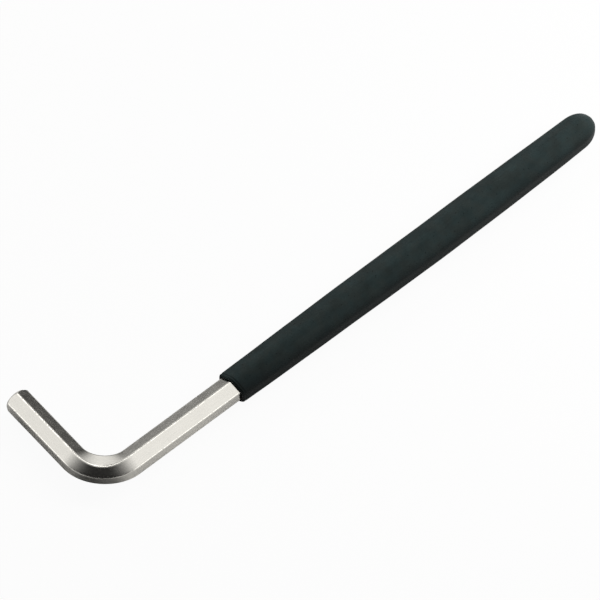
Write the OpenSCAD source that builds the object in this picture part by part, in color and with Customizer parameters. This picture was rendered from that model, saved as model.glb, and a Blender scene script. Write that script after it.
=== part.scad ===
// Long hex key: a hexagonal steel bar with one bend, its long leg dipped in black vinyl.
// The key is built with the long leg's axis along +X, the short leg's along +Y and their
// meeting point at zero, and is then laid down as it rests, with its feet at z = 0.

/* [Steel bar] */
// Width of the bar across its flats
across_flats = 8; // [5:0.5:12]
// Length taken off each side of a section corner by its rounding
corner_cut = 0.5; // [0.1:0.05:0.8]
// Short leg, from the long leg's axis to its driving face
short_leg = 40.9; // [30:0.1:70]
// Long leg, from the short leg's axis to its end inside the sleeve
long_leg = 197; // [150:0.5:260]
// Step from the bar's flats in to the rim of the flat face on each end
tip_inset = 0.3; // [0.1:0.05:1.5]
// Slope of the chamfer on each end, from the bar's axis
tip_angle = 40; // [25:1:60]

/* [Bend] */
// Radius of the bend along the middle of the bar
bend_radius = 13.2; // [8:0.1:24]
// How far the bend pushes the upper and lower ridges outward
ridge_out = 0.95; // [0:0.05:1.2]
// How far the bend flattens those ridges
ridge_drop = 0.55; // [0:0.05:0.8]
// How far the bend widens the inner flat, at each edge
inner_widening = 0.42; // [0:0.02:0.6]
// How far the bend narrows the outer flat, at each edge
outer_narrowing = 0.6; // [0:0.05:0.8]

/* [Sleeve] */
// Distance from the short leg's axis to the sleeve's mouth
mouth_at = 53.2; // [35:0.1:80]
// Slant of the mouth in the plane of the key
mouth_slant = 8; // [0:1:12]
// Length of the rounded lip
lip_length = 1.4; // [0.6:0.1:3]
// Vinyl over the bar's corners just behind the lip
wall_mouth = 1.2; // [0.8:0.05:2]
// Vinyl over the bar's corners where the sleeve is fattest
wall_fat = 1.8; // [0.8:0.05:3]
// Distance from the short leg's axis to the fattest place
fat_at = 133; // [90:1:145]
// Vinyl over the bar's corners where the far end starts to close
wall_tail = 1.15; // [0.9:0.05:2]
// Vinyl beyond the buried end of the bar
wall_end = 5.2; // [3:0.1:6]
// How far the sleeve's far end drifts sideways on the bar, toward the side of the short leg
tail_drift = 0.7; // [0:0.05:0.9]
// Further drift from there to the tip of the dome
tip_drift = 0.35; // [0:0.05:0.8]
// Length of the domed far end
dome_length = 7.7; // [3:0.1:9]
// Fullness of the dome: 2 is an ellipse, more is squarer
dome_fullness = 2.1; // [2:0.1:3]
// Share of each side of the sleeve's section that a corner's rounding takes
softness = 0.3; // [0.1:0.02:0.45]
// Gap between the steel and the vinyl
sleeve_gap = 0.02; // [0:0.01:0.1]

/* [Hidden] */
steel = [0.80, 0.79, 0.77];
vinyl = [0.13, 0.17, 0.17];

bar_side_steps = 4;
sleeve_side_steps = 1;
bend_steps = 24;
lip_steps = 5;
slant_steps = 4;
body_steps = 3;
dome_steps = 9;

// The slant of the mouth fades out over this many lip lengths
slant_fade = 8 * lip_length;
// The dome's last ring lies just short of its pole
dome_close = 0.97;

face_r = across_flats / 2 - tip_inset;
bar_corner_r = corner_r(across_flats) - corner_cut / 4;
dome_at = long_leg + wall_end - dome_length;

// The key rests on the ridge end of its short leg and on the sleeve. The sleeve touches on the
// line from the short tip through the balance point of the bent bar and the vinyl, whose weight
// is a share of that of the same length of bar.
vinyl_weight = 0.15;
foot_y = short_leg - chamfer_depth(bar_corner_r);
sleeve_run = long_leg + wall_end - mouth_at;
bar_run = long_leg + short_leg - (2 - PI / 2) * bend_radius;
weight = bar_run + vinyl_weight * sleeve_run;
sleeve_moment = vinyl_weight * sleeve_run * (mouth_at + sleeve_run / 2);
balance_x = (long_leg ^ 2 / 2 + sleeve_moment) / weight;
balance_y = short_leg ^ 2 / 2 / weight;
touch_x = balance_x * foot_y / (foot_y - balance_y);
pitch = atan(wall_slope(touch_x));
axis_height = (bar_corner_r + wall(touch_x)) * cos(pitch) - touch_x * sin(pitch);
lean = atan((axis_height - bar_corner_r) / foot_y);

// Middle of the laid key, which is put over the origin
middle_x = (long_leg + wall_end - across_flats / 2) / 2;
middle_y = (short_leg - sleeve_corner(wall_fat) * cos(30)) / 2;

// Distance from the axis of a hexagon to its sharp corners
function corner_r(flats) = flats / 2 / cos(30);

// How far the chamfer of a tip cuts back a point that lies this far from the bar's axis
function chamfer_depth(r) = (r - face_r) / tan(tip_angle);

// Sharp corner radius of the sleeve's hexagon that leaves this much vinyl over the bar's corners
function sleeve_corner(cover) = (bar_corner_r + cover) / (1 - softness / 4);

// Vinyl over the bar's corners at a distance x along the long leg
function wall(x) = x < fat_at
    ? wall_fat - (wall_fat - wall_mouth) * ((fat_at - x) / (fat_at - mouth_at)) ^ 2
    : wall_fat - (wall_fat - wall_tail) * ((x - fat_at) / (dome_at - fat_at)) ^ 2;

function wall_slope(x) = (wall(x + 1) - wall(x - 1)) / 2;

// Sideways shift of the sleeve's middle at a distance x along the long leg
function drift(x) = x < fat_at ? 0 : tail_drift * ((x - fat_at) / (dome_at - fat_at)) ^ 1.5;

function unit(v) = v / norm(v);
function flip(p) = [p.x, -p.y];
function hexagon(r) = [for (a = [30 : 60 : 330]) r * [cos(a), sin(a)]];

// Outline whose corners are replaced by three flats that start and end a length `cut` away from
// them. The middle flat lies a quarter of the cut's rise in from the sharp corner. Each straight
// side between two corners is divided into this many steps.
function rounded(outline, cut, side_steps) = [
    for (i = [0 : len(outline) - 1])
    let (
        before = outline[(i + len(outline) - 1) % len(outline)],
        corner = outline[i],
        after = outline[(i + 1) % len(outline)],
        start = corner + cut * unit(before - corner),
        end = corner + cut * unit(after - corner),
        next_start = after + cut * unit(corner - after)
    )
    each [
        start,
        (start + corner) / 2,
        (corner + end) / 2,
        end,
        for (i = [1 : 1 : side_steps - 1])
        end + (next_start - end) * i / side_steps
    ]
];

// Section of the bar as [inward, up], with flats on the inside and the outside of the bend.
// A strain of 1 gives the section in the middle of the bend, and 0 that of a straight leg.
function bar_section(strain) =
    let (
        flat = across_flats / 2,
        side = corner_r(across_flats) / 2,
        inner = [flat, side + inner_widening * strain],
        ridge = [-ridge_out * strain, corner_r(across_flats) - ridge_drop * strain],
        outer = [-flat, side - outer_narrowing * strain]
    )
    rounded([inner, ridge, outer, flip(outer), flip(ridge), flip(inner)], corner_cut, bar_side_steps);

// Rings of the bar at one end of a leg, in leg coordinates [inward, up, along]: first where the
// chamfer cuts each line of the bar, then the rim of the flat face
function tip_rings(length) = [
    [for (p = bar_section(0)) [p.x, p.y, length - chamfer_depth(norm(p))]],
    [for (p = bar_section(0)) [face_r * unit(p).x, face_r * unit(p).y, length]]
];
function on_long_leg(ring) = [for (p = ring) [p[2], p[0], p[1]]];
function on_short_leg(ring) = [for (p = ring) [p[0], p[2], p[1]]];

// Ring of the bend, which turns about [bend_radius, bend_radius] from the long leg, at 0, to
// the short leg, at 90
function bend_ring(turn) = [
    for (p = bar_section(sin(2 * turn) ^ 2))
    [
        bend_radius - (bend_radius - p.x) * sin(turn),
        bend_radius - (bend_radius - p.x) * cos(turn),
        p.y
    ]
];

// Ring of the sleeve at a distance x along the long leg, which leans with the slanted mouth
function sleeve_ring(outline, x) =
    let (slant = tan(mouth_slant) * max(0, 1 - (x - mouth_at) / slant_fade))
    [for (p = outline) [x - p.x * slant, p.x, p.y]];
function sleeve_outline(cover, shrink = 1) =
    let (r = sleeve_corner(cover) * shrink)
    rounded(hexagon(r), softness * r, sleeve_side_steps);
function cavity_outline() =
    rounded(hexagon(corner_r(across_flats + 2 * sleeve_gap)), corner_cut, sleeve_side_steps);
function lip_rings() = [
    for (i = [1 : lip_steps])
    let (
        turn = 90 * i / lip_steps,
        x = mouth_at + lip_length * (1 - cos(turn)),
        cover = sleeve_gap + (wall(x) - sleeve_gap) * sin(turn)
    )
    sleeve_ring(sleeve_outline(cover), x)
];
function body_rings(from, to, steps) = [
    for (i = [1 : steps])
    let (x = from + (to - from) * i / steps)
    sleeve_ring(shifted(sleeve_outline(wall(x)), drift(x)), x)
];
function dome_rings() = [
    for (i = [1 : dome_steps])
    let (
        turn = 90 * dome_close * i / dome_steps,
        outline = sleeve_outline(wall_tail, cos(turn) ^ (2 / dome_fullness)),
        shift = tail_drift + tip_drift * sin(turn) ^ 2
    )
    sleeve_ring(shifted(outline, shift), dome_at + dome_length * sin(turn) ^ (2 / dome_fullness))
];
function shifted(outline, inward) = [for (p = outline) [p.x + inward, p.y]];

// Solid that joins rings with the same number of points, and closes the first and the last
module skin(rings) {
    count = len(rings[0]);
    last = len(rings) - 1;
    polyhedron(
        points = [for (ring = rings) each ring],
        faces = [
            [for (i = [0 : count - 1]) i],
            for (r = [0 : last - 1], i = [0 : count - 1])
            let (a = r * count + i, b = r * count + (i + 1) % count)
            each [[a, a + count, b], [b, a + count, b + count]],
            [for (i = [count - 1 : -1 : 0]) last * count + i]
        ],
        convexity = 4
    );
}

// Lays the key on the floor, its middle over the origin
module laid() {
    translate([-middle_x, -middle_y, axis_height * cos(lean)])
    rotate([-lean, 0, 0])
    rotate([0, -pitch, 0])
    children();
}

module hex_bar() {
    short_tip = tip_rings(short_leg);
    long_tip = tip_rings(long_leg);
    color(steel)
    laid()
    skin([
        on_short_leg(short_tip[1]),
        on_short_leg(short_tip[0]),
        for (i = [bend_steps : -1 : 0]) bend_ring(90 * i / bend_steps),
        on_long_leg(long_tip[0]),
        on_long_leg(long_tip[1])
    ]);
}

// The skin runs from the bottom of the cavity to the mouth, round the lip and on to the far end
module grip() {
    slant_end = mouth_at + slant_fade;
    color(vinyl)
    laid()
    skin([
        sleeve_ring(cavity_outline(), long_leg + sleeve_gap),
        sleeve_ring(cavity_outline(), mouth_at),
        each lip_rings(),
        each body_rings(mouth_at + lip_length, slant_end, slant_steps),
        each body_rings(slant_end, dome_at, body_steps),
        each dome_rings()
    ]);
}

hex_bar();
grip();
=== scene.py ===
"""Long hex key: a satin steel hexagonal bar with one bend, its long leg in a dipped black vinyl
sleeve. Every length is in metres. The bar and the sleeve are worked out in the key's own
coordinates, with the long leg's axis along +X, the short leg's along +Y and their meeting point
at zero, and are then laid down as the key rests, with its feet at z = 0.
"""

import bpy
import numpy as np
from bpy.props import FloatProperty, FloatVectorProperty, IntProperty, PointerProperty
from mathutils import Matrix, Vector


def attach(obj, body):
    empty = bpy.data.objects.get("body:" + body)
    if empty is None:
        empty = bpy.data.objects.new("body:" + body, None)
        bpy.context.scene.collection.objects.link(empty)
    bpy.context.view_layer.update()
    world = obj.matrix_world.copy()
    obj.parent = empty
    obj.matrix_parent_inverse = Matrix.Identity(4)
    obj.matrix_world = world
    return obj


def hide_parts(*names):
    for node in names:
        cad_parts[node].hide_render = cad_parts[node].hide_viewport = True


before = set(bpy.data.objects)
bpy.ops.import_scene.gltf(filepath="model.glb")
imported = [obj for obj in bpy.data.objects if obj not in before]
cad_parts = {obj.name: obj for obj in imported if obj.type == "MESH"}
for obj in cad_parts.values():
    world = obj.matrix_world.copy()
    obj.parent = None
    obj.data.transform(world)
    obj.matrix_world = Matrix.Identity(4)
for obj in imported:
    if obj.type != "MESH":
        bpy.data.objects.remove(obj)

bl_info = {
    "name": "Long Hex Key",
    "version": (1, 0, 0),
    "blender": (4, 5, 0),
    "location": "3D View > Sidebar > Hex Key",
    "description": "Builds a bent hexagonal steel key with a dipped vinyl sleeve, and its studio",
    "category": "Object",
}

MM = 0.001
# The vinyl weighs this share of the same length of bar
VINYL_WEIGHT = 0.15
# The point that the camera looks at, in millimetres
CAMERA_AIM = (-8.56, -6.58, 5.0)
# The air's strength as a light, where 1 is how the camera and reflections see it
AIR_LIGHT = 0.12

# Dark ovals on the floor that only reflections see: middle and half sizes in millimetres, and
# how dark
SHADES = (
    ((-101, -19), (10, 10), 0.62),  # outer strip of the bend
    ((-35, 2), (42, 16), 0.9),  # lower strip of the long leg
    ((-75, 24), (13, 26), 0.9),  # inner side of the short leg
    ((-105, 24), (5, 9), 0.28),  # outer strip of the short leg, near its tip
    ((-118, -34), (18, 18), 0.85),  # outer ridge of the bend
    ((60, 23), (75, 15), 0.85),  # inner side of the sleeve
)

# Soft patches on the light tent: direction, how much the height is squeezed, the angles in
# degrees up to which a patch is full and at which it is gone, and its glow as a share of the
# cloth's, which is under 1 for an opening and over 1 for a lamp
PATCHES = (
    ((-0.663, -0.509, 0.549), 1.06, 15.8, 60.0, 0.02),  # upper face of the bend
    ((0.929, 0.369, -0.026), 5.0, 42.8, 89.0, 0.0),  # inner faces of both legs
    ((-0.72, -0.67, 0.05), 1.0, 10.0, 26.0, 0.15),  # outer ridge of the bend
    ((-0.2, -0.95, 0.22), 1.0, 8.0, 18.0, 0.2),  # and its run into the long leg
    ((-0.96, -0.1, 0.25), 1.0, 8.0, 18.0, 0.2),  # and its run into the short leg
    ((-0.06, -0.02, 0.998), 1.0, 6.0, 15.0, 0.1),  # below the bend's upper ridge
    ((0.4, 0.455, 0.795), 1.0, 5.0, 10.0, 3.0),  # upper ridge of the bend
    ((0.26, 0.7, 0.665), 1.0, 8.0, 15.0, 0.0),  # inner side of the long leg's ridge
    ((0.66, 0.32, 0.68), 1.0, 8.0, 15.0, 0.0),  # inner side of the short leg's ridge
    ((0.316, 0.114, 0.942), 1.0, 4.0, 10.0, 1.8),  # upper ridge of the long leg
    ((0.063, 0.369, 0.926), 1.0, 4.0, 10.0, 1.8),  # upper ridge of the short leg
    ((0.316, -0.874, 0.369), 1.0, 6.0, 14.0, 1.8),  # outer ridge of the long leg
    ((-0.873, 0.369, 0.315), 1.0, 6.0, 14.0, 1.8),  # outer ridge of the short leg
)

# Lamps: name, the point in millimetres that each looks at, direction from there, distance and
# size in metres, and watts
LAMPS = (
    ("end_lamp", (0, 0, 0), (1.0, 0.1, 0.9), 1.2, 0.5, 6.5),
    ("upper_lamp", (0, 0, 0), (0.3, 0.95, 0.75), 1.2, 0.5, 4.5),
    ("tip_lamp", (90, -17, 5), (0.55, -0.42, 0.72), 0.2, 0.08, 0.26),
)
LAMP_TINT = (1.0, 0.99, 0.97)


def length(name, description, millimetres):
    """A length property, whose default is given in millimetres."""
    return FloatProperty(
        name=name,
        description=description,
        default=millimetres * MM,
        min=0.0,
        precision=5,
        subtype="DISTANCE",
        unit="LENGTH",
    )


def angle(name, description, degrees):
    """An angle property, whose default is given in degrees."""
    return FloatProperty(
        name=name,
        description=description,
        default=np.radians(degrees),
        subtype="ANGLE",
        unit="ROTATION",
    )


def share(name, description, value, most=1.0):
    """A plain number from zero to a highest value."""
    return FloatProperty(
        name=name, description=description, default=value, min=0.0, max=most
    )


def colour(name, description, red, green, blue):
    """A colour property in scene-linear values."""
    return FloatVectorProperty(
        name=name,
        description=description,
        default=(red, green, blue),
        size=3,
        min=0.0,
        max=1.0,
        subtype="COLOR",
    )


class HexKeyBar(bpy.types.PropertyGroup):
    """Sizes and finish of the steel bar."""

    across_flats: length("Across flats", "Width of the bar across its flats", 8)
    corner_cut: length(
        "Corner cut", "Length taken off each side of a section corner", 0.5
    )
    short_leg: length("Short leg", "From the long leg's axis to the driving face", 40.9)
    long_leg: length(
        "Long leg", "From the short leg's axis to the end in the sleeve", 197
    )
    bend_radius: length(
        "Bend radius", "Radius of the bend along the middle of the bar", 13.2
    )
    ridge_out: length("Ridge out", "How far the bend pushes the ridges outward", 0.95)
    ridge_drop: length("Ridge drop", "How far the bend flattens the ridges", 0.55)
    inner_widening: length(
        "Inner widening", "How far the bend widens the inner flat", 0.42
    )
    outer_narrowing: length(
        "Outer narrowing", "How far the bend narrows the outer flat", 0.6
    )
    tip_inset: length(
        "Tip inset", "Step from the flats in to the rim of an end face", 0.3
    )
    tip_angle: angle("Tip angle", "Slope of the end chamfers from the bar's axis", 40)
    steel: colour("Steel", "Colour of the satin plating", 0.86, 0.84, 0.785)
    roughness: share("Roughness", "Roughness of the plating between its scratches", 0.14)


class HexKeySleeve(bpy.types.PropertyGroup):
    """Sizes and finish of the dipped vinyl sleeve."""

    mouth_at: length("Mouth", "From the short leg's axis to the sleeve's mouth", 53.2)
    mouth_slant: angle("Mouth slant", "Slant of the mouth in the plane of the key", 8)
    lip_length: length("Lip length", "Length of the rounded lip", 1.4)
    lip_gap: length("Lip gap", "Gap between the steel and the rolled edge", 0.22)
    bead: length("Bead", "Height of the rolled bead and depth of its groove", 0.12)
    wall_mouth: length(
        "Wall at the mouth", "Vinyl over the corners behind the lip", 1.2
    )
    wall_fat: length(
        "Wall where fattest", "Vinyl over the corners at the fattest place", 1.8
    )
    fat_at: length("Fattest place", "From the short leg's axis to that place", 133)
    wall_tail: length("Wall at the tail", "Vinyl over the corners at the far end", 1.15)
    wall_end: length("Wall at the end", "Vinyl beyond the buried end of the bar", 5.2)
    tail_drift: length(
        "Tail drift", "Sideways drift of the barrel up to the dome", 0.7
    )
    tip_drift: length("Tip drift", "Further drift from there to the dome's tip", 0.35)
    dome_length: length("Dome length", "Length of the domed far end", 7.7)
    dome_fullness: share(
        "Dome fullness", "2 is an ellipse, and more is squarer", 2.1, 4
    )
    softness: share("Softness", "Share of a side that a corner's rounding takes", 0.3)
    gap: length("Sleeve gap", "Gap between the steel and the vinyl", 0.02)
    waviness: length("Waviness", "Height of the dipped skin's slow waves", 0.03)
    vinyl: colour("Vinyl", "Colour of the vinyl", 0.024, 0.034, 0.034)
    roughness: share("Roughness", "Roughness of the matt skin", 0.5)


class HexKeyStage(bpy.types.PropertyGroup):
    """Camera, floor and light."""

    camera_turn: angle("Camera turn", "Direction of the camera round the key", -40.536)
    camera_rise: angle("Camera rise", "Height of the camera above the horizon", 60.882)
    camera_roll: angle("Camera roll", "Turn of the camera about its own axis", 0.641)
    camera_distance: length("Camera distance", "From the camera to its aim", 4733.1)
    focal_length: FloatProperty(
        name="Focal length",
        description="Focal length in millimetres",
        default=907.25,
        min=1.0,
        unit="CAMERA",
    )
    floor_radius: length("Floor radius", "Radius of the plain floor", 2500)
    floor_grey: share("Floor", "Paleness of the floor", 0.85)
    sides: IntProperty(
        name="Floor sides",
        description="Sides of the round floor",
        default=96,
        min=12,
    )


# Shapes


def corner_radius(flats):
    """Distance from the axis of a hexagon to its sharp corners: half the width across flats over
    the cosine of 30 degrees."""
    return flats / 2 / np.cos(np.pi / 6)


def bar_corner_radius(bar):
    """The same to the middle of a rounded corner, which lies a quarter of the cut further in."""
    return corner_radius(bar.across_flats) - bar.corner_cut / 4


def chamfer_depth(bar, radius):
    """How far an end chamfer cuts back a point that lies this far from the bar's axis: the step
    out from the rim of the end face over the tangent of the chamfer's slope."""
    return (radius - (bar.across_flats / 2 - bar.tip_inset)) / np.tan(bar.tip_angle)


def hexagon(radius):
    """Corners of upright hexagons as [inward, up], one hexagon for each radius."""
    turn = np.radians(np.arange(30, 390, 60))
    return np.asarray(radius)[..., None, None] * np.stack(
        [np.cos(turn), np.sin(turn)], -1
    )


def rounded(corners, cut, arc, side):
    """Outlines of hexagons with soft corners. Each corner is replaced by a quadratic curve that
    starts and ends a length `cut` away from it, sampled at the shares `arc`, and the straight
    side up to the next curve is sampled at the shares `side`. Works on many hexagons at once."""
    cut = np.asarray(cut)[..., None, None]
    before, after = np.roll(corners, 1, -2), np.roll(corners, -1, -2)

    def toward(a, b):
        return (b - a) / np.linalg.norm(b - a, axis=-1, keepdims=True)

    start = corners + cut * toward(corners, before)
    end = corners + cut * toward(corners, after)
    next_start = np.roll(start, -1, -2)
    t, s = np.asarray(arc)[:, None], np.asarray(side)[:, None]
    curve = (
        (1 - t) ** 2 * start[..., None, :]
        + 2 * t * (1 - t) * corners[..., None, :]
        + t**2 * end[..., None, :]
    )
    straight = end[..., None, :] + s * (next_start - end)[..., None, :]
    outline = np.concatenate([curve, straight], -2)
    return outline.reshape(*outline.shape[:-3], -1, 2)


def perimeter(outline):
    """Distance run along a closed outline up to each of its points, and once round."""
    step = np.linalg.norm(np.roll(outline, -1, 0) - outline, axis=-1)
    return np.concatenate([[0], np.cumsum(step)])


def resting_pose(bar, sleeve):
    """Turn and shift that lay the key down. It rests on the ridge end of its short leg and on
    the sleeve, which touches on the line from the short tip through the balance point of the
    bent bar and the vinyl. The key pitches with the slope of the sleeve's wall there, and leans
    until the tip's corner touches the floor."""
    corner = bar_corner_radius(bar)
    foot = bar.short_leg - chamfer_depth(bar, corner)
    covered = bar.long_leg + sleeve.wall_end - sleeve.mouth_at
    vinyl = VINYL_WEIGHT * covered
    weight = bar.long_leg + bar.short_leg - (2 - np.pi / 2) * bar.bend_radius + vinyl
    moment = bar.long_leg**2 / 2 + vinyl * (sleeve.mouth_at + covered / 2)
    balance_x, balance_y = moment / weight, bar.short_leg**2 / 2 / weight
    touch = balance_x * foot / (foot - balance_y)
    slope = wall(bar, sleeve, touch + MM) - wall(bar, sleeve, touch - MM)
    pitch = np.arctan(slope / (2 * MM))
    height = (corner + wall(bar, sleeve, touch)) * np.cos(pitch) - touch * np.sin(pitch)
    lean = np.arctan((height - corner) / foot)
    about_y = np.array(
        [
            [np.cos(pitch), 0, -np.sin(pitch)],
            [0, 1, 0],
            [np.sin(pitch), 0, np.cos(pitch)],
        ]
    )
    about_x = np.array(
        [
            [1, 0, 0],
            [0, np.cos(lean), np.sin(lean)],
            [0, -np.sin(lean), np.cos(lean)],
        ]
    )
    middle = np.array(
        [
            (bar.long_leg + sleeve.wall_end - bar.across_flats / 2) / 2,
            (
                bar.short_leg
                - sleeve_radius(bar, sleeve, sleeve.wall_fat) * np.cos(np.pi / 6)
            )
            / 2,
            -height * np.cos(lean),
        ]
    )
    return about_x @ about_y, -middle


def laid(points, bar, sleeve):
    """Points of the key's own coordinates, laid down on the floor."""
    turn, shift = resting_pose(bar, sleeve)
    return points @ turn.T + shift


def skin_mesh(name, rings, along, around, marks):
    """Closed mesh over rings of points, [ring, point, xyz], with a pole in the middle of the
    first and the last ring. Its UV map, in metres, is the distance `along` the piece of each
    ring and the distance `around` the section of each point, and `marks` are numbers kept on
    the points. The signed volume tells whether the faces point outward."""
    count, sides = rings.shape[:2]
    points = np.concatenate(
        [rings.reshape(-1, 3), [rings[0].mean(0)], [rings[-1].mean(0)]]
    )
    ring, side = np.meshgrid(np.arange(count - 1), np.arange(sides), indexing="ij")
    ring, side = ring.ravel(), side.ravel()
    after = (side + 1) % sides
    quads = np.stack(
        [
            ring * sides + side,
            ring * sides + after,
            (ring + 1) * sides + after,
            (ring + 1) * sides + side,
        ],
        -1,
    )
    quad_uv = np.stack(
        [
            np.stack([along[ring], around[side]], -1),
            np.stack([along[ring], around[side + 1]], -1),
            np.stack([along[ring + 1], around[side + 1]], -1),
            np.stack([along[ring + 1], around[side]], -1),
        ],
        1,
    )
    j = np.arange(sides)
    k = (j + 1) % sides
    last = (count - 1) * sides
    fans = np.concatenate(
        [
            np.stack([np.full(sides, count * sides), k, j], -1),
            np.stack([np.full(sides, count * sides + 1), last + j, last + k], -1),
        ]
    )
    middle = (around[j] + around[j + 1]) / 2
    reach = [np.linalg.norm(rings[i] - rings[i].mean(0), axis=-1).mean() for i in (0, -1)]
    fan_uv = np.concatenate(
        [
            np.stack(
                [
                    np.stack([np.full(sides, along[0] - reach[0]), middle], -1),
                    np.stack([np.full(sides, along[0]), around[j + 1]], -1),
                    np.stack([np.full(sides, along[0]), around[j]], -1),
                ],
                1,
            ),
            np.stack(
                [
                    np.stack([np.full(sides, along[-1] + reach[1]), middle], -1),
                    np.stack([np.full(sides, along[-1]), around[j]], -1),
                    np.stack([np.full(sides, along[-1]), around[j + 1]], -1),
                ],
                1,
            ),
        ]
    )
    a, b, c, d = (points[quads[:, i]] for i in range(4))
    volume = np.einsum("ij,ij->", a, np.cross(b, c)) + np.einsum(
        "ij,ij->", a, np.cross(c, d)
    )
    e, f, g = (points[fans[:, i]] for i in range(3))
    volume += np.einsum("ij,ij->", e, np.cross(f, g))
    if volume < 0:
        quads, fans = quads[:, ::-1], fans[:, ::-1]
        quad_uv, fan_uv = quad_uv[:, ::-1], fan_uv[:, ::-1]
    mesh = bpy.data.meshes.new(name)
    mesh.vertices.add(len(points))
    mesh.vertices.foreach_set("co", points.astype(np.float32).ravel())
    corners = np.concatenate([quads.ravel(), fans.ravel()]).astype(np.int32)
    mesh.loops.add(len(corners))
    mesh.loops.foreach_set("vertex_index", corners)
    sizes = np.concatenate([np.full(len(quads), 4), np.full(len(fans), 3)])
    starts = np.concatenate([[0], np.cumsum(sizes)[:-1]]).astype(np.int32)
    mesh.polygons.add(len(sizes))
    mesh.polygons.foreach_set("loop_start", starts)
    mesh.polygons.foreach_set("use_smooth", np.ones(len(sizes), bool))
    uv = mesh.uv_layers.new(name="length_and_girth")
    flat = np.concatenate([quad_uv.reshape(-1, 2), fan_uv.reshape(-1, 2)])
    uv.data.foreach_set("uv", flat.astype(np.float32).ravel())
    for mark, values in marks.items():
        at_poles = [values[0].mean(), values[-1].mean()]
        layer = mesh.attributes.new(mark, "FLOAT", "POINT")
        both = np.concatenate([values.ravel(), at_poles]).astype(np.float32)
        layer.data.foreach_set("value", both)
    mesh.validate()
    mesh.update()
    return mesh


def bar_section(bar, strain, arc, side):
    """Sections of the bar as [inward, up], with flats on the inside and the outside of the bend.
    A strain of 1 is the middle of the bend, where the metal flows outward: the ridges move out
    and drop, the inner flat widens and the outer flat narrows in proportion to the strain."""
    strain = np.asarray(strain, float)
    flat, half_side = bar.across_flats / 2, corner_radius(bar.across_flats) / 2
    inner = np.stack(
        [np.full_like(strain, flat), half_side + bar.inner_widening * strain], -1
    )
    ridge = np.stack(
        [
            -bar.ridge_out * strain,
            corner_radius(bar.across_flats) - bar.ridge_drop * strain,
        ],
        -1,
    )
    outer = np.stack(
        [np.full_like(strain, -flat), half_side - bar.outer_narrowing * strain], -1
    )
    down = np.array([1, -1])
    corners = np.stack(
        [inner, ridge, outer, outer * down, ridge * down, inner * down], -2
    )
    return rounded(corners, np.full(strain.shape, bar.corner_cut), arc, side)


def tip_profile(bar, outline):
    """Rings of one end of the bar as [inward, up, distance back from the end face], from the
    middle of the face outward. Each ring is a blend of the round rim and the hexagonal outline,
    cut back by the chamfer, with the edges of the chamfer and of the face softly broken."""
    rim = bar.across_flats / 2 - bar.tip_inset
    radius = np.linalg.norm(outline, axis=-1, keepdims=True)
    toward = outline / radius
    soft = 0.05 * MM
    slope = np.tan(bar.tip_angle)
    rings = [
        np.concatenate([toward * (part * rim), 0 * radius], -1)
        for part in (0.3, 0.8, 0.97)
    ]
    for out, sink in ((0.25 * soft, 0.15 * soft), (1.5 * soft, 1.5 * soft)):
        rings.append(
            np.concatenate([toward * (rim + out), 0 * radius + sink / slope], -1)
        )
    for part in (0.5, 0.8):
        r = rim + soft + (radius - rim - soft) * part
        rings.append(np.concatenate([toward * r, (r - rim) / slope], -1))
    edge = (radius - rim) / slope
    inset = 0.03 * MM
    rings.append(np.concatenate([toward * (radius - inset), edge - inset / slope], -1))
    rings.append(np.concatenate([toward * (radius - 0.006 * MM), edge + 0.012 * MM], -1))
    for back in (0.05, 0.25):
        rings.append(np.concatenate([outline, edge + back * MM], -1))
    return np.stack(rings)


def bar_mesh(bar, sleeve):
    """The steel bar as its section carried along one path: in from the short tip, round the bend
    and along the long leg to the end in the sleeve. On the bend a point turns about a centre
    that lies one bend radius inward of both axes, and the strain of the section is the squared
    sine of twice the angle turned."""
    arc = np.linspace(0, 1, 7)
    side = np.array([0.02, 0.12, 0.5, 0.88, 0.98])
    short_rings, bend_rings, long_rings = 12, 73, 40
    straight = bar_section(bar, 0.0, arc, side)
    tip = tip_profile(bar, straight)
    reach = bar.bend_radius
    behind_tip, behind_bend = 2 * MM, 0.4 * MM

    short_tip = np.stack([tip[..., 0], bar.short_leg - tip[..., 2], tip[..., 1]], -1)
    runs = np.linspace(bar.short_leg - behind_tip, reach + behind_bend, short_rings)
    inward, run, up = np.broadcast_arrays(straight[:, 0], runs[:, None], straight[:, 1])
    short_body = np.stack([inward, run, up], -1)
    turn = np.radians(np.linspace(90, 0, bend_rings))
    section = bar_section(bar, np.sin(2 * turn) ** 2, arc, side)
    bend = np.stack(
        [
            reach - (reach - section[..., 0]) * np.sin(turn)[:, None],
            reach - (reach - section[..., 0]) * np.cos(turn)[:, None],
            section[..., 1],
        ],
        -1,
    )
    runs = np.linspace(reach + behind_bend, bar.long_leg - behind_tip, long_rings)
    inward, run, up = np.broadcast_arrays(straight[:, 0], runs[:, None], straight[:, 1])
    long_body = np.stack([run, inward, up], -1)
    long_tip = np.stack([bar.long_leg - tip[..., 2], tip[..., 0], tip[..., 1]], -1)
    rings = np.concatenate([short_tip, short_body, bend, long_body, long_tip[::-1]])

    step = np.linalg.norm(np.diff(rings, axis=0), axis=-1).mean(1)
    along = np.concatenate([[0], np.cumsum(step)])
    around = perimeter(straight)

    # Marks for the finish: the rounded edges, and the turned ends
    edge = np.tile(np.concatenate([np.sin(np.pi * arc), 0 * side]), 6)
    edge = np.broadcast_to(edge, rings.shape[:2]).copy()
    turned = np.zeros(rings.shape[:2])
    machined = len(tip) - 3
    turned[:machined] = 1
    turned[-machined:] = 1
    return skin_mesh(
        "steel_bar",
        laid(rings, bar, sleeve),
        along,
        around,
        {"edge": edge, "turned": turned},
    )


def sleeve_radius(bar, sleeve, cover):
    """Sharp corner radius of the sleeve's hexagon that leaves this much vinyl over the bar's
    corners: a rounded corner lies a quarter of its cut, which is a share of the radius, in."""
    return (bar_corner_radius(bar) + cover) / (1 - sleeve.softness / 4)


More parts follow.
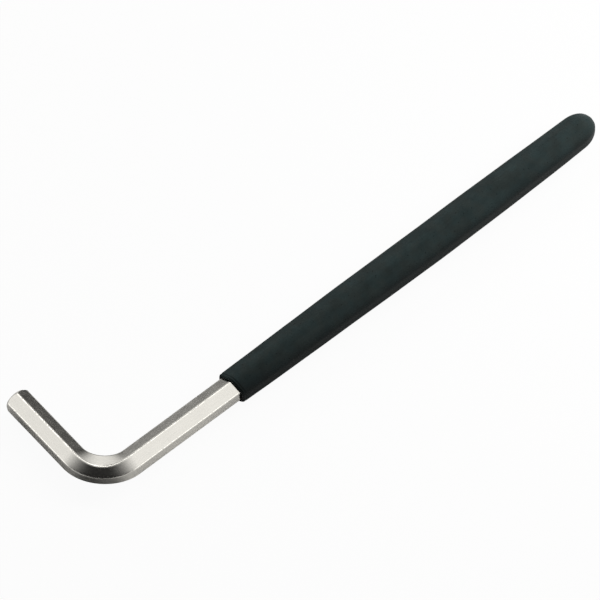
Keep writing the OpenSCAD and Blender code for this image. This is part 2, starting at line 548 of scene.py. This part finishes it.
def wall(bar, sleeve, x):
    """Vinyl over the bar's corners at a distance x along the long leg: it falls off from the
    fattest place with the square of the distance, to the mouth and to the start of the dome."""
    dome_at = bar.long_leg + sleeve.wall_end - sleeve.dome_length
    ahead = (sleeve.fat_at - x) / (sleeve.fat_at - sleeve.mouth_at)
    behind = (x - sleeve.fat_at) / (dome_at - sleeve.fat_at)
    return np.where(
        x < sleeve.fat_at,
        sleeve.wall_fat - (sleeve.wall_fat - sleeve.wall_mouth) * ahead**2,
        sleeve.wall_fat - (sleeve.wall_fat - sleeve.wall_tail) * behind**2,
    )


def sleeve_mesh(bar, sleeve):
    """The sleeve as one closed skin: from the bottom of the cavity to the mouth, round the
    rolled lip, along the barrel and over the dome. A profile of corner radius and rounding is
    carried along the long leg. The lip is half an ellipse with a bead and a groove behind it,
    which are bell curves; the barrel has slow waves, which are sums and products of sines; the
    dome's radius is a superellipse; the mouth leans, and the lean fades out behind it. The mark
    for painted shade is 1 inside the mouth and in the groove, and between 0 and 1 where the
    vinyl is painted darker as shade: it rises in a straight line down each side, and falls off
    exponentially behind the mouth."""
    arc = np.linspace(0, 1, 13)
    side = np.linspace(0, 1, 8)[1:-1]
    mouth, lip = sleeve.mouth_at, sleeve.lip_length
    dome_at = bar.long_leg + sleeve.wall_end - sleeve.dome_length

    # Cavity, from its bottom to the flare behind the lip
    half_way, flare_depth = 120 * MM, 1.4 * MM
    deep = np.array([bar.long_leg + sleeve.gap, half_way, mouth + 3 * MM])
    cavity_r = np.full(len(deep), corner_radius(bar.across_flats + 2 * sleeve.gap))
    flare = np.linspace(1, 0.08, 7)[1:]
    flare_x = mouth + 0.5 * lip + flare * flare_depth
    inner_cover = sleeve.gap + (sleeve.lip_gap - sleeve.gap) * (1 - flare) ** 2

    # Lip, from its inner side round its front to the outside
    turn = np.radians(np.linspace(-90, 90, 19))
    lip_x = mouth + np.where(turn < 0, 0.35, 1.0) * lip * (1 - np.cos(turn))
    outside, front = wall(bar, sleeve, mouth + lip), sleeve.lip_gap * 1.6
    lip_cover = np.where(
        turn < 0,
        sleeve.lip_gap * (1 + 0.6 * (np.sin(turn) + 1)),
        front + (outside - front) * np.sin(turn),
    )

    # Barrel and dome
    barrel_x = np.concatenate(
        [
            np.linspace(mouth + lip, mouth + 3 * lip, 14)[1:],
            np.linspace(mouth + 3 * lip, dome_at, 121)[1:],
        ]
    )
    barrel_cover = wall(bar, sleeve, barrel_x)
    over = np.radians(np.concatenate([np.linspace(3, 84, 34), [86.5, 88.3, 89.4]]))
    dome_x = dome_at + sleeve.dome_length * np.sin(over) ** (2 / sleeve.dome_fullness)
    shrink = np.cos(over) ** (2 / sleeve.dome_fullness)

    # All rings, and which of them are the flare, the lip and barrel, and the dome
    x = np.concatenate([deep, flare_x, lip_x, barrel_x, dome_x])
    cover = np.concatenate([inner_cover, lip_cover, barrel_cover])
    cavity = len(deep) + len(flare_x)
    flared = slice(len(deep), cavity)
    skin = slice(cavity, -len(dome_x))
    dome = slice(-len(dome_x), None)
    bead = np.exp(-(((x[skin] - mouth - 0.35 * lip) / (0.25 * lip)) ** 2))
    groove = np.exp(-(((x[skin] - mouth - 0.75 * lip) / (0.13 * lip)) ** 2))
    outer_side = np.concatenate([np.sin(turn).clip(0, 1), np.ones(len(barrel_x))])
    cover[len(flare_x) :] += sleeve.bead * (bead - groove) * outer_side
    radius = np.concatenate(
        [
            cavity_r,
            sleeve_radius(bar, sleeve, cover),
            sleeve_radius(bar, sleeve, sleeve.wall_tail) * shrink,
        ]
    )
    cut = sleeve.softness * radius
    cut[: len(deep)] = bar.corner_cut
    cut[flared] = bar.corner_cut + (cut[flared] - bar.corner_cut) * (1 - flare) ** 2
    outline = rounded(hexagon(radius), cut, arc, side)

    # Slow waves of the dipped skin, on the outside only
    around = np.arctan2(outline[..., 1], outline[..., 0])
    length_mm = x[:, None] / MM
    waves = (
        np.sin(length_mm / 5.3 + 2 * around + 0.4)
        * np.sin(length_mm / 13.7 - around + 1.1)
        + 0.6 * np.sin(length_mm / 8.9 + 3 * around + 2.0)
        + 0.5 * np.sin(length_mm / 23.0 + 0.8)
    )
    fade = np.clip((length_mm - mouth / MM - 2) / 6, 0, 1)
    fade[: cavity + len(turn)] = 0
    fade[dome] = shrink[:, None]
    lift = 1 + sleeve.waviness * waves * fade / radius[:, None].clip(MM)
    outline = outline * lift[..., None]

    # Sideways drift of the far end, and the slant of the mouth
    behind = ((x - sleeve.fat_at) / (dome_at - sleeve.fat_at)).clip(0, 1)
    shift = sleeve.tail_drift * behind**1.5
    shift[dome] += sleeve.tip_drift * np.sin(over) ** 2
    shift[: len(deep)] = 0
    n, up = outline[..., 0] + shift[:, None], outline[..., 1]
    lean = np.tan(sleeve.mouth_slant) * (1 - (x - mouth) / (8 * lip)).clip(0, 1)
    rings = np.stack([x[:, None] - n * lean[:, None], n, up], -1)

    step = np.linalg.norm(np.diff(rings, axis=0), axis=-1).mean(1)
    along = np.concatenate([[0], np.cumsum(step)])
    # One ring of the barrel gives the distance round the sleeve to all the others
    girth = perimeter(outline[cavity + len(turn) + 32])
    # Painted shade inside the mouth and in the groove behind the lip
    painted_shade = np.zeros(rings.shape[:2])
    painted_shade[: cavity + 3] = 1  # up to the third ring of the lip
    painted_shade[skin] = np.maximum(painted_shade[skin], (groove * outer_side)[:, None])

    # Painted shade: darker low on both sides, and on the outer side next to the mouth
    from_axis = np.linalg.norm(outline, axis=-1)
    low = 0.75 * ((0.85 - outline[..., 1] / from_axis) / 0.55).clip(0, 1)
    outer = (-outline[..., 0] / from_axis / 0.45).clip(0, 1)
    painted_mouth_shade = 0.6 * np.exp(-(x - mouth).clip(0, None) / (20 * MM))[:, None] * outer
    painted_shade = 1 - (1 - painted_shade) * (1 - low) * (1 - painted_mouth_shade)
    return skin_mesh(
        "vinyl_sleeve",
        laid(rings, bar, sleeve),
        along,
        girth,
        {"painted_shade": painted_shade},
    )


# Materials


class Shader:
    """A node tree under construction, with short calls for the nodes that the finishes use."""

    def __init__(self, tree):
        self.tree = tree
        tree.nodes.clear()

    def node(self, kind, settings=None, **sockets):
        """A node of this kind with these settings, and its input sockets set or linked by name,
        in lower case and with an underscore for a space."""
        made = self.tree.nodes.new(kind)
        for name, value in (settings or {}).items():
            setattr(made, name, value)
        by_name = {s.name.lower(): s for s in reversed(made.inputs) if s.enabled}
        for name, value in sockets.items():
            self.feed(by_name[name.replace("_", " ")], value)
        return made

    def feed(self, socket, value):
        """Links an output to a socket, or sets the socket's own value."""
        if isinstance(value, bpy.types.NodeSocket):
            self.tree.links.new(value, socket)
        else:
            socket.default_value = value

    def math(self, operation, *values, clamp=False):
        """The result of a Math node."""
        made = self.tree.nodes.new("ShaderNodeMath")
        made.operation, made.use_clamp = operation, clamp
        for socket, value in zip(made.inputs, values):
            self.feed(socket, value)
        return made.outputs[0]

    def vector(self, operation, *values, out=0):
        """The result of a Vector Math node."""
        made = self.tree.nodes.new("ShaderNodeVectorMath")
        made.operation = operation
        for socket, value in zip(made.inputs, values):
            self.feed(socket, value)
        return made.outputs[out]

    def scaled(self, vector, factor):
        """A vector or colour times a number."""
        result = self.vector("SCALE", vector)
        self.feed(result.node.inputs["Scale"], factor)
        return result

    def spread(self, value, low, high, to_low=0.0, to_high=1.0):
        """A smooth step of the value between low and high, from to_low to to_high."""
        made = self.node("ShaderNodeMapRange", {"interpolation_type": "SMOOTHSTEP"})
        for socket, v in zip(made.inputs, (value, low, high, to_low, to_high)):
            self.feed(socket, v)
        return made.outputs[0]

    def noise(self, vector, scale, detail=3.0, roughness=0.5):
        """Noise about one half, at this scale in features a metre."""
        made = self.node(
            "ShaderNodeTexNoise",
            vector=vector,
            scale=scale,
            detail=detail,
            roughness=roughness,
        )
        return made.outputs["Fac"]

    def mix(self, share_of_b, a, b):
        """Two colours mixed. Inputs 6 and 7 and output 2 are the node's colour sockets."""
        made = self.tree.nodes.new("ShaderNodeMix")
        made.data_type = "RGBA"
        for socket, value in (
            (made.inputs[0], share_of_b),
            (made.inputs[6], a),
            (made.inputs[7], b),
        ):
            self.feed(socket, value)
        return made.outputs[2]

    def mix_shader(self, share_of_b, a, b):
        """Two surfaces mixed."""
        made = self.node("ShaderNodeMixShader")
        for socket, value in zip(made.inputs, (share_of_b, a, b)):
            self.feed(socket, value)
        return made.outputs[0]

    def attribute(self, name):
        """A number kept on the mesh."""
        return self.node("ShaderNodeAttribute", {"attribute_name": name}).outputs["Fac"]

    def end(self, surface, kind="ShaderNodeOutputMaterial"):
        """The output node of a material or a world, with its surface linked."""
        out = self.node(kind)
        self.feed(out.inputs["Surface"], surface)


def tinted(rgb, red, green, blue):
    """A colour with each channel scaled, and its alpha."""
    return (rgb[0] * red, rgb[1] * green, rgb[2] * blue, 1.0)


def material(name):
    """A new material and the shader of its nodes."""
    made = bpy.data.materials.new(name)
    made.use_nodes = True
    return made, Shader(made.node_tree)


def steel_finish(bar):
    """Satin nickel plating over drawn steel: fine scratches run along the bar, and round it on
    the turned ends; the plating is a little brighter on the edges, partly as polished wear and
    partly as a painted highlight, and carries a few dark pin marks."""
    made, s = material("satin_nickel_steel")
    uv = s.node("ShaderNodeUVMap", {"uv_map": "length_and_girth"}).outputs[0]
    turned = s.attribute("turned")
    edge = s.attribute("edge")

    # Features a metre along the bar and round it
    fine = s.noise(s.vector("MULTIPLY", uv, (260.0, 9000.0, 1.0)), 1.0, 2.0)
    rings = s.noise(s.vector("MULTIPLY", uv, (14000.0, 300.0, 1.0)), 1.0, 2.0)
    broad = s.noise(s.vector("MULTIPLY", uv, (60.0, 1500.0, 1.0)), 1.0, 3.0)
    scratches = s.node(
        "ShaderNodeMix", {"data_type": "FLOAT"}, factor=turned, a=fine, b=rings
    ).outputs[0]
    cloud = s.noise(uv, 240.0, 3.0)
    speck = s.noise(uv, 2600.0, 1.0)
    pin = s.spread(speck, 0.73, 0.79)

    # Random tone, and a little brighter on the rounded edges: partly polished wear, partly a
    # painted highlight
    tone = s.math(
        "ADD", s.spread(broad, 0.3, 0.7, 0.985, 1.01), s.math("MULTIPLY", edge, 0.03)
    )
    shade = s.math("MULTIPLY", tone, s.spread(cloud, 0.25, 0.75, 0.97, 1.01))
    shade = s.math("MULTIPLY", shade, s.spread(speck, 0.25, 0.75, 0.93, 1.05))
    shade = s.math("MULTIPLY", shade, s.math("SUBTRACT", 1.0, s.math("MULTIPLY", pin, 0.25)))

    rough = s.math(
        "ADD",
        s.spread(scratches, 0.3, 0.7, bar.roughness - 0.03, bar.roughness + 0.05),
        s.spread(cloud, 0.3, 0.7, -0.015, 0.02),
    )
    chips = s.spread(s.noise(uv, 1500.0, 1.0), 0.42, 0.62, 0.0, 0.3)
    worn = s.math("ADD", s.math("MULTIPLY", pin, 0.2), s.math("MULTIPLY", edge, chips))
    rough = s.math("ADD", rough, worn, clamp=True)
    grain = s.node("ShaderNodeBump", strength=0.08, distance=0.00002, height=scratches)
    plating = s.node(
        "ShaderNodeBsdfPrincipled",
        base_color=s.scaled(tuple(bar.steel), shade),
        metallic=1.0,
        roughness=rough,
        normal=grain.outputs[0],
    )
    s.end(plating.outputs[0])
    return made


def vinyl_finish(sleeve):
    """Dipped black vinyl: a slightly blue-green black with slow mottling, a fine orange-peel
    skin, faint drag marks along the dip and a few pin holes, with painted shade in the mouth,
    in the groove, low on the sides and beside the mouth."""
    made, s = material("dipped_vinyl")
    place = s.node("ShaderNodeTexCoord").outputs["Object"]
    uv = s.node("ShaderNodeUVMap", {"uv_map": "length_and_girth"}).outputs[0]
    mottle = s.noise(place, 170.0, 4.0, 0.6)
    hue = s.noise(s.vector("ADD", place, (0.31, 0.17, 0.05)), 260.0, 2.0)
    peel = s.noise(place, 1500.0, 2.0, 0.55)
    drag = s.noise(s.vector("MULTIPLY", uv, (90.0, 1400.0, 1.0)), 1.0, 2.0)
    hole = s.spread(s.noise(place, 1900.0, 0.0), 0.76, 0.82)

    cool = tinted(sleeve.vinyl, 0.95, 1.01, 1.03)
    warm = tinted(sleeve.vinyl, 1.05, 0.99, 0.97)
    tint = s.mix(s.spread(hue, 0.35, 0.65), cool, warm)
    shade = s.math(
        "MULTIPLY",
        s.spread(mottle, 0.25, 0.75, 0.8, 1.2),
        s.spread(drag, 0.3, 0.7, 0.97, 1.03),
    )
    shade = s.math("MULTIPLY", shade, s.math("SUBTRACT", 1.0, s.math("MULTIPLY", hole, 0.6)))
    # Painted shade from the sleeve's mark: in the mouth, in the groove, low on the sides and
    # beside the mouth
    shade = s.math("MULTIPLY", shade, s.spread(s.attribute("painted_shade"), 0.0, 1.0, 1.0, 0.3))
    rough = s.math(
        "ADD",
        s.spread(mottle, 0.25, 0.75, sleeve.roughness - 0.04, sleeve.roughness + 0.05),
        s.spread(peel, 0.3, 0.7, -0.02, 0.02),
    )
    grain = s.node("ShaderNodeBump", strength=0.35, distance=0.00004, height=peel)
    streaks = s.node(
        "ShaderNodeBump",
        strength=0.15,
        distance=0.00003,
        height=drag,
        normal=grain.outputs[0],
    )
    skin = s.node(
        "ShaderNodeBsdfPrincipled",
        base_color=s.scaled(tint, shade),
        metallic=0.0,
        roughness=rough,
        specular_ior_level=0.08,
        normal=streaks.outputs[0],
    )
    s.end(skin.outputs[0])
    return made


def floor_finish(grey, shades):
    """Pale paper that the camera sees almost white. A large share of it is its own plain light
    for the camera and a small one for reflections, and the rest takes the light and the key's
    shadow. Each shade, as listed in SHADES, is a soft dark oval that only reflections see: it
    is full up to six tenths of its half sizes, and gone at fourteen tenths."""
    made, s = material("pale_floor")
    path = s.node("ShaderNodeLightPath").outputs
    reflected = s.math("MAXIMUM", path["Is Glossy Ray"], path["Is Transmission Ray"])
    own_light = s.math(
        "MAXIMUM",
        s.math("MULTIPLY", path["Is Camera Ray"], 0.95),
        s.math("MULTIPLY", reflected, 0.04),
    )
    paper = s.node("ShaderNodeBsdfDiffuse", color=(grey, grey, grey, 1.0))
    white = s.node("ShaderNodeEmission", color=(1.0, 1.0, 1.0, 1.0), strength=1.0)
    plain = s.mix_shader(own_light, paper.outputs[0], white.outputs[0])
    place = s.node("ShaderNodeTexCoord").outputs["Object"]
    kept = 1.0
    for middle, reach, depth in shades:
        across = s.vector("SUBTRACT", place, tuple(v * MM for v in (*middle, 0)))
        across = s.vector("DIVIDE", across, tuple(v * MM for v in (*reach, 1)))
        away = s.vector("LENGTH", across, out=1)
        kept = s.math("MULTIPLY", kept, s.spread(away, 0.6, 1.4, 1.0 - depth, 1.0))
    black = s.node("ShaderNodeEmission", strength=0.0)
    dim = s.math("MULTIPLY", reflected, s.math("SUBTRACT", 1.0, kept))
    s.end(s.mix_shader(dim, plain, black.outputs[0]))
    return made


def tent_finish(patches):
    """White cloth of a light tent, seen only in reflections. Each patch on it, as listed in
    PATCHES, fades smoothly from its strongest angle to the one where it is gone, and where
    patches overlap their glows multiply."""
    made, s = material("light_tent")
    place = s.node("ShaderNodeTexCoord").outputs["Object"]
    glow = 1.0
    for axis, squeeze, full_to, gone_at, strength in patches:
        middle = np.array(axis) * (1, 1, squeeze)
        middle = tuple(middle / np.linalg.norm(middle))
        toward = s.vector("NORMALIZE", s.vector("MULTIPLY", place, (1.0, 1.0, squeeze)))
        near = s.vector("DOT_PRODUCT", toward, middle, out=1)
        patch = s.spread(
            near,
            float(np.cos(np.radians(gone_at))),
            float(np.cos(np.radians(full_to))),
            1.0,
            strength,
        )
        glow = s.math("MULTIPLY", glow, patch)
    cloth = s.node("ShaderNodeEmission", color=(1.0, 0.995, 0.985, 1.0), strength=glow)
    s.end(cloth.outputs[0])
    made.cycles.emission_sampling = "NONE"
    return made


# Operators


def add_piece(mesh, finish):
    """An object for a mesh, at the origin, with its material."""
    piece = bpy.data.objects.new(mesh.name, mesh)
    bpy.context.scene.collection.objects.link(piece)
    mesh.materials.append(finish)
    return piece


class HEXKEY_OT_steel_bar(bpy.types.Operator):
    """Build the bent hexagonal steel bar"""

    bl_idname = "hexkey.steel_bar"
    bl_label = "Steel Bar"

    def execute(self, context):
        bar, sleeve = context.scene.hex_key_bar, context.scene.hex_key_sleeve
        piece = add_piece(bar_mesh(bar, sleeve), steel_finish(bar))
        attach(piece, "root")
        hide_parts("hex_bar")
        return {"FINISHED"}


class HEXKEY_OT_vinyl_sleeve(bpy.types.Operator):
    """Build the dipped vinyl sleeve on the long leg"""

    bl_idname = "hexkey.vinyl_sleeve"
    bl_label = "Vinyl Sleeve"

    def execute(self, context):
        bar, sleeve = context.scene.hex_key_bar, context.scene.hex_key_sleeve
        piece = add_piece(sleeve_mesh(bar, sleeve), vinyl_finish(sleeve))
        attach(piece, "root")
        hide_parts("grip")
        return {"FINISHED"}


def disc_mesh(name, radius, sides):
    """A flat round sheet: points on a circle round the origin, joined by one face."""
    turn = np.linspace(0, 2 * np.pi, sides, endpoint=False)
    rim = np.stack([radius * np.cos(turn), radius * np.sin(turn), 0 * turn], -1)
    mesh = bpy.data.meshes.new(name)
    mesh.from_pydata(rim.tolist(), [], [list(range(sides))])
    return mesh


def dome_mesh(name, radius, rings, sides):
    """A sphere of two angles round the whole stage, with a small flat face at each pole."""
    rise = np.radians(np.linspace(-89.5, 89.5, rings))[:, None]
    turn = np.linspace(0, 2 * np.pi, sides, endpoint=False)[None, :]
    points = radius * np.stack(
        [
            np.cos(rise) * np.cos(turn),
            np.cos(rise) * np.sin(turn),
            np.broadcast_to(np.sin(rise), (rings, sides)),
        ],
        -1,
    )
    i, j = np.meshgrid(np.arange(rings - 1), np.arange(sides), indexing="ij")
    k = (j + 1) % sides
    faces = np.stack(
        [i * sides + j, i * sides + k, (i + 1) * sides + k, (i + 1) * sides + j], -1
    )
    caps = [list(range(sides)), list(range((rings - 1) * sides, rings * sides))]
    mesh = bpy.data.meshes.new(name)
    mesh.from_pydata(
        points.reshape(-1, 3).tolist(), [], faces.reshape(-1, 4).tolist() + caps
    )
    return mesh


def area_lamp(name, aim, toward, distance, size, watts):
    """A square soft lamp that looks at a point from this direction and distance. It lights the
    object and the floor, and isn't mirrored in the steel, where the tent shows instead."""
    data = bpy.data.lights.new(name, "AREA")
    data.shape, data.size, data.energy, data.color = "SQUARE", size, watts, LAMP_TINT
    lamp = bpy.data.objects.new(name, data)
    direction = Vector(toward).normalized()
    lamp.location = Vector(aim) * MM + direction * distance
    lamp.rotation_euler = direction.to_track_quat("Z", "Y").to_euler()
    lamp.visible_glossy = False
    bpy.context.scene.collection.objects.link(lamp)
    return lamp


class HEXKEY_OT_stage(bpy.types.Operator):
    """Build the floor, the light tent, the lamps, the background and the camera"""

    bl_idname = "hexkey.stage"
    bl_label = "Stage"

    def execute(self, context):
        scene, stage = context.scene, context.scene.hex_key_stage
        floor = add_piece(
            disc_mesh("floor", stage.floor_radius, stage.sides),
            floor_finish(stage.floor_grey, SHADES),
        )

        tent = add_piece(
            dome_mesh("tent", 1.4 * stage.floor_radius, rings=49, sides=96),
            tent_finish(PATCHES),
        )
        tent.visible_camera = False
        tent.visible_diffuse = False
        tent.visible_shadow = False

        for lamp in LAMPS:
            area_lamp(*lamp)
        self.add_world(scene)
        self.add_camera(scene, stage)
        scene.view_settings.view_transform = "Standard"
        return {"FINISHED"}

    def add_world(self, scene):
        """White air, at full strength where it is seen and faint where it lights."""
        world = bpy.data.worlds.new("studio")
        scene.world = world
        world.use_nodes = True
        s = Shader(world.node_tree)
        path = s.node("ShaderNodeLightPath").outputs
        seen = s.math(
            "MAXIMUM",
            path["Is Camera Ray"],
            s.math("MAXIMUM", path["Is Glossy Ray"], path["Is Transmission Ray"]),
        )
        strength = s.math("ADD", AIR_LIGHT, s.math("MULTIPLY", seen, 1 - AIR_LIGHT))
        air = s.node(
            "ShaderNodeBackground", color=(1.0, 1.0, 1.0, 1.0), strength=strength
        )
        s.end(air.outputs[0], "ShaderNodeOutputWorld")

    def add_camera(self, scene, stage):
        """A long lens that looks at the key's mid height from the photograph's side."""
        data = bpy.data.cameras.new("camera")
        data.lens, data.sensor_width = stage.focal_length, 36.0
        data.clip_start, data.clip_end = 0.1, 50.0
        camera = bpy.data.objects.new("camera", data)
        scene.collection.objects.link(camera)
        camera.matrix_world = (
            Matrix.Translation(Vector(CAMERA_AIM) * MM)
            @ Matrix.Rotation(stage.camera_turn, 4, "Z")
            @ Matrix.Rotation(np.pi / 2 - stage.camera_rise, 4, "X")
            @ Matrix.Rotation(stage.camera_roll, 4, "Z")
            @ Matrix.Translation(Vector((0, 0, stage.camera_distance)))
        )
        scene.camera = camera


class HEXKEY_PT_sidebar(bpy.types.Panel):
    """Lists the pieces of the key and their sizes"""

    bl_idname = "HEXKEY_PT_sidebar"
    bl_label = "Hex Key"
    bl_space_type = "VIEW_3D"
    bl_region_type = "UI"
    bl_category = "Hex Key"

    def draw(self, context):
        groups = (
            (HEXKEY_OT_steel_bar, context.scene.hex_key_bar),
            (HEXKEY_OT_vinyl_sleeve, context.scene.hex_key_sleeve),
            (HEXKEY_OT_stage, context.scene.hex_key_stage),
        )
        for maker, sizes in groups:
            part = self.layout.box()
            part.operator(maker.bl_idname)
            for name in sizes.__annotations__:
                part.prop(sizes, name)


CLASSES = (
    HexKeyBar,
    HexKeySleeve,
    HexKeyStage,
    HEXKEY_OT_steel_bar,
    HEXKEY_OT_vinyl_sleeve,
    HEXKEY_OT_stage,
    HEXKEY_PT_sidebar,
)


def register():
    for cls in CLASSES:
        bpy.utils.register_class(cls)
    bpy.types.Scene.hex_key_bar = PointerProperty(type=HexKeyBar)
    bpy.types.Scene.hex_key_sleeve = PointerProperty(type=HexKeySleeve)
    bpy.types.Scene.hex_key_stage = PointerProperty(type=HexKeyStage)


def unregister():
    for name in ("hex_key_stage", "hex_key_sleeve", "hex_key_bar"):
        delattr(bpy.types.Scene, name)
    for cls in reversed(CLASSES):
        bpy.utils.unregister_class(cls)


def main():
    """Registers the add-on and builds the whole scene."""
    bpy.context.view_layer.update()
    register()
    bpy.ops.hexkey.steel_bar()
    bpy.ops.hexkey.vinyl_sleeve()
    bpy.ops.hexkey.stage()


if __name__ == "__main__":
    main()
